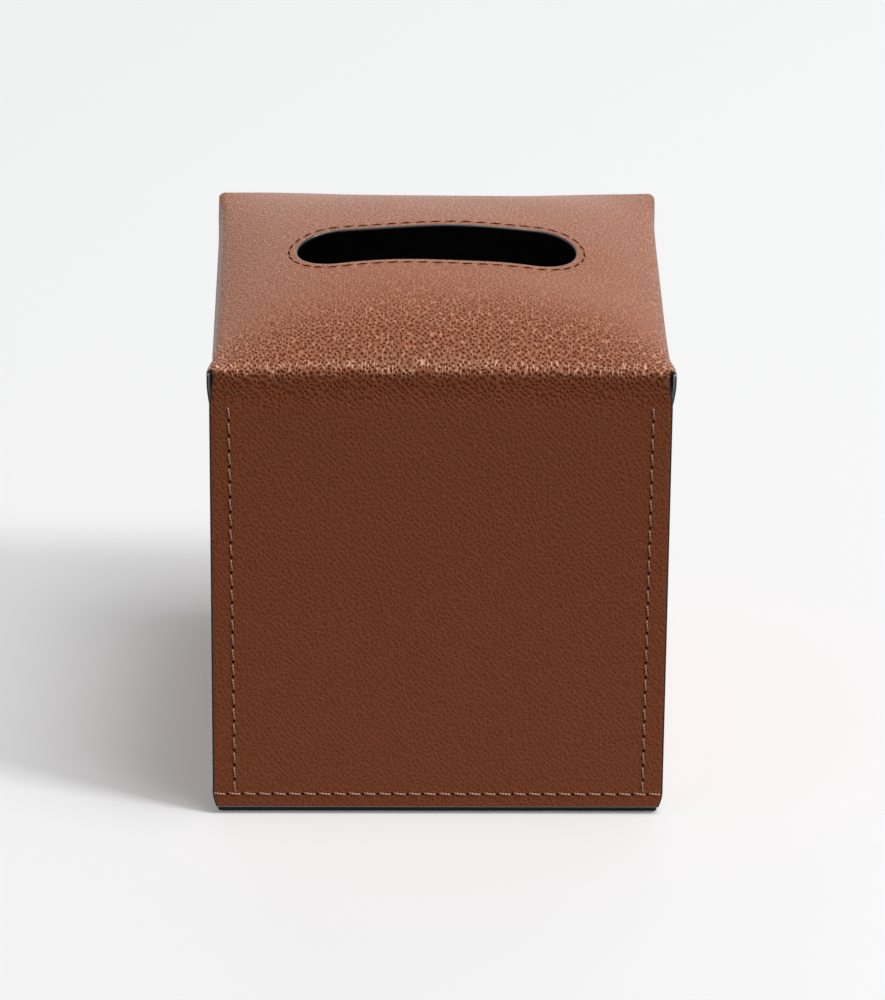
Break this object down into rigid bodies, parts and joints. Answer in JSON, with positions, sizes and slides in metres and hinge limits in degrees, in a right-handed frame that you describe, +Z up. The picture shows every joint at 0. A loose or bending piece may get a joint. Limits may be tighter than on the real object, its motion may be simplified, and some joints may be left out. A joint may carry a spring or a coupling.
{
  "type": "tissue box cover",
  "caption": "Square leather tissue box cover with a domed top, a round-ended slot and stitched corners, lifting off a low black base.",
  "frame": {"origin": "middle of the underside, on the surface that the base stands on", "axes": "+Z up through the slot, X along the slot, -Y towards the front"},
  "size_m": [0.13, 0.13, 0.1518],
  "materials": {
    "leather": "brown pebble-grained calf leather, satin, with black painted edges and tan thread",
    "lining": "matte black lining",
    "board": "plain grey fibre board",
    "base_board": "black covered board, satin",
    "liner": "black napped cloth",
    "felt": "black felt"
  },
  "bodies": {
    "base": {"base_felt": "felt", "base_plate": "base_board", "base_riser": "base_board", "base_liner": "liner"},
    "cover": {"leather_cover": "leather", "front_board": "board", "back_board": "board", "left_board": "board", "right_board": "board", "front_lining": "lining", "back_lining": "lining", "left_lining": "lining", "right_lining": "lining"}
  },
  "joints": [
    {"name": "cover_lift", "type": "slide", "parent": "base", "child": "cover", "axis": [0, 0, 1], "range_m": [0, 0.15]}
  ]
}
